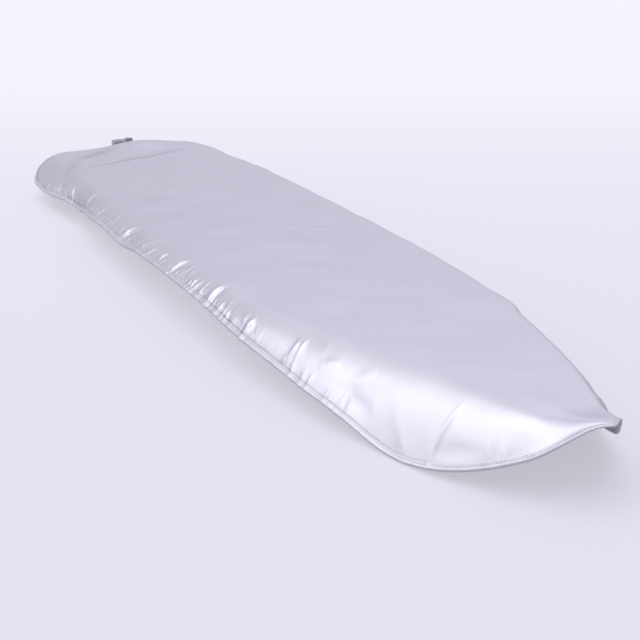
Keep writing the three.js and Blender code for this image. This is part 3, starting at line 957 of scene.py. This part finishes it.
# Fine gathers in the cloth's finish: fade above the hem and from the tip, in metres, stretch and relief
FINE_GATHER_RISE = (0.002, 0.026)
FINE_GATHER_FADE = (0.27, 0.36)
FINE_GATHER_STRETCH = (1, 0.16, 1)
FINE_GATHER_RELIEF = 3.5

# Painted shade in the cloth's colour along the shaded folds at the tail end: start and end, half width, and
# depth of tone. A line fades over one of its parts at each end.
PAINTED_FOLD_SHADE_LINES = (
    ((-446, -130), (-550, 118), 5, 0.75),
    ((-516, -122), (-598, -26), 17, 0.5),
    ((-440, -140), (-520, -112), 14, 0.35),
)
FOLD_SHADE_PARTS = 3
FOLD_SHADE_TONE = (0.3, 0.3, 0.35)


class Field:
    """A value that changes over a surface, which operators combine as they do numbers."""

    def __init__(self, nodes, socket):
        self.nodes = nodes
        self.socket = socket

    def combined(self, operation, *values):
        return self.nodes.node("ShaderNodeMath", {"operation": operation}, dict(enumerate(values)))

    def __add__(self, other):
        return self.combined("ADD", self, other)

    def __sub__(self, other):
        return self.combined("SUBTRACT", self, other)

    def __rsub__(self, other):
        return self.combined("SUBTRACT", other, self)

    def __mul__(self, other):
        return self.combined("MULTIPLY", self, other)

    def __abs__(self):
        return self.combined("ABSOLUTE", self)

    __radd__ = __add__
    __rmul__ = __mul__


class Nodes:
    """A node tree, whose nodes are all made by one method."""

    def __init__(self, tree):
        self.tree = tree

    def give(self, node, socket, value):
        if isinstance(value, Field):
            self.tree.links.new(value.socket, node.inputs[socket])
        else:
            node.inputs[socket].default_value = value

    def node(self, kind, settings=None, inputs=None, output=0):
        made = self.tree.nodes.new(kind)
        for setting, value in (settings or {}).items():
            if setting == "stops":
                for stop, (position, level) in zip(made.color_ramp.elements, value):
                    stop.position = position
                    stop.color = (level, level, level, 1)
            else:
                setattr(made, setting, value)
        for socket, value in (inputs or {}).items():
            self.give(made, socket, value)
        return Field(self, made.outputs[output])

    def rays(self, *kinds):
        first, *others = (self.node("ShaderNodeLightPath", output=f"Is {kind} Ray") for kind in kinds)
        return sum(others, first)

    def levels(self, value, span, ends, interpolation="LINEAR"):
        sockets = ("Value", "From Min", "From Max", "To Min", "To Max")
        inputs = dict(zip(sockets, (value, *span, *ends)))
        return self.node("ShaderNodeMapRange", {"interpolation_type": interpolation}, inputs)


class Finish(Nodes):
    """A material with one shader, whose varying inputs come from fields."""

    def __init__(self, name, **constants):
        self.material = bpy.data.materials.new(name)
        self.material.use_nodes = True
        super().__init__(self.material.node_tree)
        self.shader = self.tree.nodes["Principled BSDF"]
        self.place = self.node("ShaderNodeTexCoord", output="Object")
        self.flat = self.node("ShaderNodeUVMap", {"uv_map": "flat"})
        self.surface(**constants)

    def axis(self, vector, name):
        return self.node("ShaderNodeSeparateXYZ", {}, {0: vector}, output=name)

    def turned(self, vector, degrees):
        inputs = {"Vector": vector, "Rotation": (0, 0, math.radians(degrees))}
        return self.node("ShaderNodeMapping", {}, inputs)

    def noise(self, scale, detail=3, roughness=0.55, vector=None):
        inputs = {"Vector": vector or self.place, "Scale": scale, "Detail": detail, "Roughness": roughness}
        return self.node("ShaderNodeTexNoise", {}, inputs)

    def wave(self, scale, direction, distortion=0.0, vector=None):
        settings = {"wave_type": "BANDS", "bands_direction": direction, "wave_profile": "SIN"}
        inputs = {"Vector": vector or self.flat, "Scale": scale, "Distortion": distortion}
        return self.node("ShaderNodeTexWave", settings, inputs)

    def weave(self, scale, vector=None):
        return self.wave(scale, "X", vector=vector) * self.wave(scale, "Y", vector=vector)

    def ramp(self, value, low, high):
        return self.node("ShaderNodeValToRGB", {"stops": ((low, 0), (high, 1))}, {0: value})

    # Sockets 6 and 7 of the Mix node are its colours, and output 2 is their mix
    def tint(self, share, first, second):
        settings = {"data_type": "RGBA"}
        first, second = (tone if isinstance(tone, Field) else (*tone, 1) for tone in (first, second))
        inputs = {0: share, 6: first, 7: second}
        return self.node("ShaderNodeMix", settings, inputs, output=2)

    def bump(self, height, strength, distance):
        inputs = {"Height": height, "Strength": strength, "Distance": distance}
        return self.node("ShaderNodeBump", {}, inputs)

    def glow(self, colour, strength, share):
        seen = self.rays("Camera", "Glossy", "Transmission")
        light = self.node("ShaderNodeEmission", {}, {"Color": colour, "Strength": strength})
        plain = Field(self, self.shader.outputs[0])
        both = self.node("ShaderNodeMixShader", {}, {0: seen * share, 1: plain, 2: light})
        self.give(self.tree.nodes["Material Output"], "Surface", both)

    def surface(self, **inputs):
        for name, value in inputs.items():
            socket = name.replace("_", " ").title().replace("Ior", "IOR")
            self.give(self.shader, socket, value)
        return self.material


# Painted shade along one fold line: a band of darker tone in the cloth's colour
def painted_fold_shade(finish, start, end, half_width, depth):
    length = math.dist(start, end) * MM
    way = [(there - here) * MM / length for here, there in zip(start, end)]
    forward = finish.axis(finish.place, "X") - start[0] * MM
    sideways = finish.axis(finish.place, "Y") - start[1] * MM
    along = forward * way[0] + sideways * way[1]
    across = abs(sideways * way[0] - forward * way[1])
    fade = length / FOLD_SHADE_PARTS
    ends = finish.ramp(along, 0, fade) * finish.ramp(length - along, 0, fade)
    return (1 - finish.ramp(across, 0, half_width * MM)) * ends * depth


# Plain weave with a thin silver coating, finely crinkled, with painted shade along folds at the tail end
def silver_cloth():
    finish = Finish("silver_cloth", metallic=0.85, specular_tint=EDGE_SHEEN)
    threads = finish.weave(WEAVE_SCALE)
    crinkle = finish.noise(scale=90, detail=5, roughness=0.6)
    patches = finish.ramp(finish.noise(scale=14), low=0.35, high=0.68)
    hem = finish.node("ShaderNodeUVMap", {"uv_map": "hem"})
    near_hem = 1 - finish.ramp(finish.axis(hem, "Y"), *FINE_GATHER_RISE)
    past_nose = finish.ramp(abs(finish.axis(hem, "X")), *FINE_GATHER_FADE)
    pulled = finish.node("ShaderNodeMapping", {}, {"Vector": hem, "Scale": FINE_GATHER_STRETCH})
    gathers = finish.noise(scale=230, detail=2, roughness=0.5, vector=pulled) * near_hem * past_nose
    relief = threads * WEAVE_RELIEF + crinkle * CRINKLE_RELIEF + gathers * FINE_GATHER_RELIEF
    # Painted shade along the folds, mixed into the cloth's colour below
    first, *others = (painted_fold_shade(finish, *line) for line in PAINTED_FOLD_SHADE_LINES)
    tone = finish.tint(patches, *CLOTH_TONES)
    rubbed = mixed(*CLOTH_ROUGHNESS, finish.noise(scale=60, detail=4))
    return finish.surface(
        base_color=finish.tint(sum(others, first), tone, FOLD_SHADE_TONE),
        roughness=rubbed + WEAVE_ROUGHNESS * threads,
        normal=finish.bump(relief, strength=0.3, distance=0.0008),
    )


# Uncoated back of the same cloth
def cloth_back():
    finish = Finish("cloth_back", specular_ior_level=0.2)
    threads = finish.weave(WEAVE_SCALE)
    fluff = finish.noise(scale=160, detail=4)
    return finish.surface(
        base_color=finish.tint(finish.noise(scale=40), *BACK_TONES),
        roughness=mixed(*BACK_ROUGHNESS, threads),
        normal=finish.bump(threads + fluff, strength=0.35, distance=0.0005),
    )


# Folded tape of silver cloth
def silver_tape():
    finish = Finish("silver_tape", metallic=0.8, specular_tint=EDGE_SHEEN)
    ribs = finish.wave(scale=300, direction="X", distortion=0.4)
    crinkle = finish.noise(scale=130, detail=4)
    return finish.surface(
        base_color=finish.tint(finish.noise(scale=30), *TAPE_TONES),
        roughness=mixed(*TAPE_ROUGHNESS, crinkle),
        normal=finish.bump(ribs * RIB_RELIEF + crinkle, strength=0.3, distance=0.0006),
    )


def grey_thread():
    finish = Finish("grey_thread")
    twist = finish.noise(scale=900, detail=2)
    return finish.surface(
        base_color=finish.tint(twist, *THREAD_TONES),
        roughness=mixed(*THREAD_ROUGHNESS, twist),
    )


def pale_foam():
    finish = Finish("pale_foam", specular_ior_level=0.15)
    cells = finish.node("ShaderNodeTexVoronoi", {}, {"Vector": finish.place, "Scale": 900})
    return finish.surface(
        base_color=finish.tint(cells, *FOAM_TONES),
        roughness=mixed(*FOAM_ROUGHNESS, cells),
        normal=finish.bump(cells, strength=0.5, distance=0.0006),
    )


def grey_felt():
    finish = Finish("grey_felt", specular_ior_level=0.1)
    fibres = finish.noise(scale=520, detail=6, roughness=0.7)
    clumps = finish.noise(scale=55, detail=4)
    return finish.surface(
        base_color=finish.tint(mixed(fibres, clumps, CLUMP_SHARE), *FELT_TONES),
        roughness=mixed(*FELT_ROUGHNESS, fibres),
        normal=finish.bump(fibres + clumps, strength=0.6, distance=0.0012),
    )


# Braided cord
def white_cord():
    finish = Finish("white_cord", specular_ior_level=0.25)
    braid = finish.weave(BRAID_SCALE, finish.turned(finish.flat, BRAID_TURN))
    return finish.surface(
        base_color=finish.tint(braid, *CORD_TONES),
        roughness=mixed(*CORD_ROUGHNESS, braid),
        normal=finish.bump(braid, strength=0.7, distance=0.0005),
    )


def moulded_plastic(name, tones):
    finish = Finish(name)
    grain = finish.noise(scale=700, detail=4)
    return finish.surface(
        base_color=finish.tint(finish.noise(scale=120), *tones),
        roughness=mixed(*PLASTIC_ROUGHNESS, grain),
        normal=finish.bump(grain, strength=0.15, distance=0.0003),
    )


def spring_steel():
    finish = Finish("spring_steel", metallic=1.0)
    drawn = finish.noise(scale=1500, detail=2)
    return finish.surface(
        base_color=finish.tint(drawn, *STEEL_TONES),
        roughness=mixed(*STEEL_ROUGHNESS, drawn),
    )


# Stage: floor, world, lamps and camera. Each lamp has its turn and height in degrees, its strength, and its
# softness in degrees.
FLOOR_SIZE = 80
FLOOR_GAP = 0.5
# Painted shade on the floor: its colour is darker towards the camera and lighter away from it
FLOOR_NEAR_SHADED = (0.745, 0.735, 0.825)
FLOOR_FAR_LIT = (0.872, 0.862, 0.935)
FLOOR_SHADE_FADE = (-0.6, 2.6)
FLOOR_GLOW = 1.08
FLOOR_GLOW_SHARE = 0.6
AMBIENT = 0.5
BACKDROP = (0.88, 0.87, 0.95)
BACKDROP_LEVEL = 0.95
BRIGHT_WALL = (-0.755, 0.624, 0.201)
WALL_SPAN = (0.3, 0.94)
WALL_LEVELS = (0.86, 1.51)
WHOLE = (0, 1)
LAMPS = (
    ("soft_top", 5, 72, 1.38, 60),
    ("side_softbox", -14, 18, 1.2, 60),
    ("back_softbox", -134, 36, 0.13, 60),
)
CAMERA_PLACE = (1.0894, -0.4469, 0.3138)
CAMERA_TURN = 64.15
CAMERA_TILT = 20.06
FOCAL_PIXELS = 976.3
IMAGE_SIDE = 640
SENSOR = 36


def make_floor(lowest):
    bpy.ops.object.select_all(action="DESELECT")
    bpy.ops.mesh.primitive_plane_add(size=FLOOR_SIZE, location=(0, 0, lowest - FLOOR_GAP * MM))
    floor = bpy.context.active_object
    floor.name = "floor"
    finish = Finish("pale_floor", roughness=0.9, specular_ior_level=0.1)
    # The floor's colour carries painted shade, darker near the camera and lighter far from it
    ahead = finish.axis(finish.turned(finish.place, -CAMERA_TURN), "Y")
    share = finish.levels(ahead, FLOOR_SHADE_FADE, WHOLE, "SMOOTHSTEP")
    colour = finish.tint(share, FLOOR_NEAR_SHADED, FLOOR_FAR_LIT)
    floor.data.materials.append(finish.surface(base_color=colour))
    finish.glow(colour, FLOOR_GLOW, FLOOR_GLOW_SHARE)


# A pale room: a plain level for light, a brighter wall in reflections, and its own level for the camera
def make_world():
    world = bpy.data.worlds.new("pale_room")
    world.use_nodes = True
    bpy.context.scene.world = world
    room = Nodes(world.node_tree)
    way = room.node("ShaderNodeTexCoord", output="Generated")
    settings = {"operation": "DOT_PRODUCT"}
    facing = room.node("ShaderNodeVectorMath", settings, {0: way, 1: BRIGHT_WALL}, output="Value")
    wall = room.levels(facing, WALL_SPAN, WALL_LEVELS)
    level = room.levels(room.rays("Glossy", "Transmission"), WHOLE, (AMBIENT, wall))
    shown = room.levels(room.rays("Camera"), WHOLE, (level, BACKDROP_LEVEL))
    background = world.node_tree.nodes["Background"]
    room.give(background, "Color", (*BACKDROP, 1))
    room.give(background, "Strength", shown)


def make_lamps():
    for name, turn, height, strength, softness in LAMPS:
        lamp = bpy.data.lights.new(name, "SUN")
        lamp.energy = strength
        lamp.angle = math.radians(softness)
        placed = bpy.data.objects.new(name, lamp)
        placed.rotation_euler = (math.radians(90 - height), 0, math.radians(turn))
        bpy.context.scene.collection.objects.link(placed)


def make_camera():
    lens = bpy.data.cameras.new("camera")
    lens.sensor_width = SENSOR
    lens.lens = FOCAL_PIXELS / IMAGE_SIDE * SENSOR
    camera = bpy.data.objects.new("camera", lens)
    camera.location = CAMERA_PLACE
    camera.rotation_euler = (math.radians(90 - CAMERA_TILT), 0, math.radians(CAMERA_TURN))
    bpy.context.scene.collection.objects.link(camera)
    bpy.context.scene.camera = camera


# Gives a piece its body, and hides the CAD node that it stands for
def stand_in(piece, body, node):
    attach(piece, body)
    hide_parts(node)


make_camera()
ring = make_ring()
rows, flat, above_hem, shift = skirt_rows(ring)
nodes = frame["nodes"]

# Cord
cord_finish = white_cord()
casing_cord = make_casing_cord(ring, cord_finish)
stand_in(casing_cord, "cover", "draw_cord")
for name, side, stack in (("far_cord_tail", 1, -1), ("near_cord_tail", -1, 1)):
    line = tail_line(ring, side, stack)
    tail = make_tail(name, line, cord_finish)
    stand_in(tail, "cover", "draw_cord")
    round(lengths_along(line)[-1]) * MM

# Binding and its stitches
binding = make_binding(ring, shift, silver_tape())
stand_in(binding, "cover", "hem_binding")
stitches = make_stitches(ring, shift, grey_thread())
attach(stitches, "cover")

# Cloth
cloth = make_cloth(ring, rows, flat, above_hem, shift, [silver_cloth(), cloth_back()])
stand_in(cloth, "cover", "silver_top_cloth")

# Padding
foam_inset = EDGE_ROUND + FOAM_INSET * ring.roll
foam = make_pad("foam_sheet", ring, foam_inset, FOAM_BASE, FOAM_THICKNESS - CLEARANCE, pale_foam())
stand_in(foam, "cover", "foam_pad")
felt_inset = EDGE_ROUND + FELT_INSET * ring.roll
felt = make_pad("felt_sheet", ring, felt_inset, 0, FELT_THICKNESS, grey_felt())
stand_in(felt, "cover", "felt_underlay")

# Cord lock
coil_low, coil_high = (np.array(corner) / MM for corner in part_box("lock_spring"))
coil = make_spring(coil_low, coil_high, spring_steel())
stand_in(coil, "lock", "lock_spring")
coil_foot = (coil_low + coil_high) / 2
coil_foot[1] = coil_low[1]
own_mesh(coil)
body_plastic = moulded_plastic("grey_plastic", BARREL_TONES)
button_plastic = moulded_plastic("button_plastic", BUTTON_TONES)
plastics = {"lock_barrel": body_plastic, "lock_plunger": button_plastic, "cord_end_bell": body_plastic}
for name, finish in plastics.items():
    nodes[name].data.materials.clear()
    nodes[name].data.materials.append(finish)

make_world()
make_lamps()
bpy.context.scene.view_settings.view_transform = "Standard"
VISUAL_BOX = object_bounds()
make_floor(VISUAL_BOX[0][2])
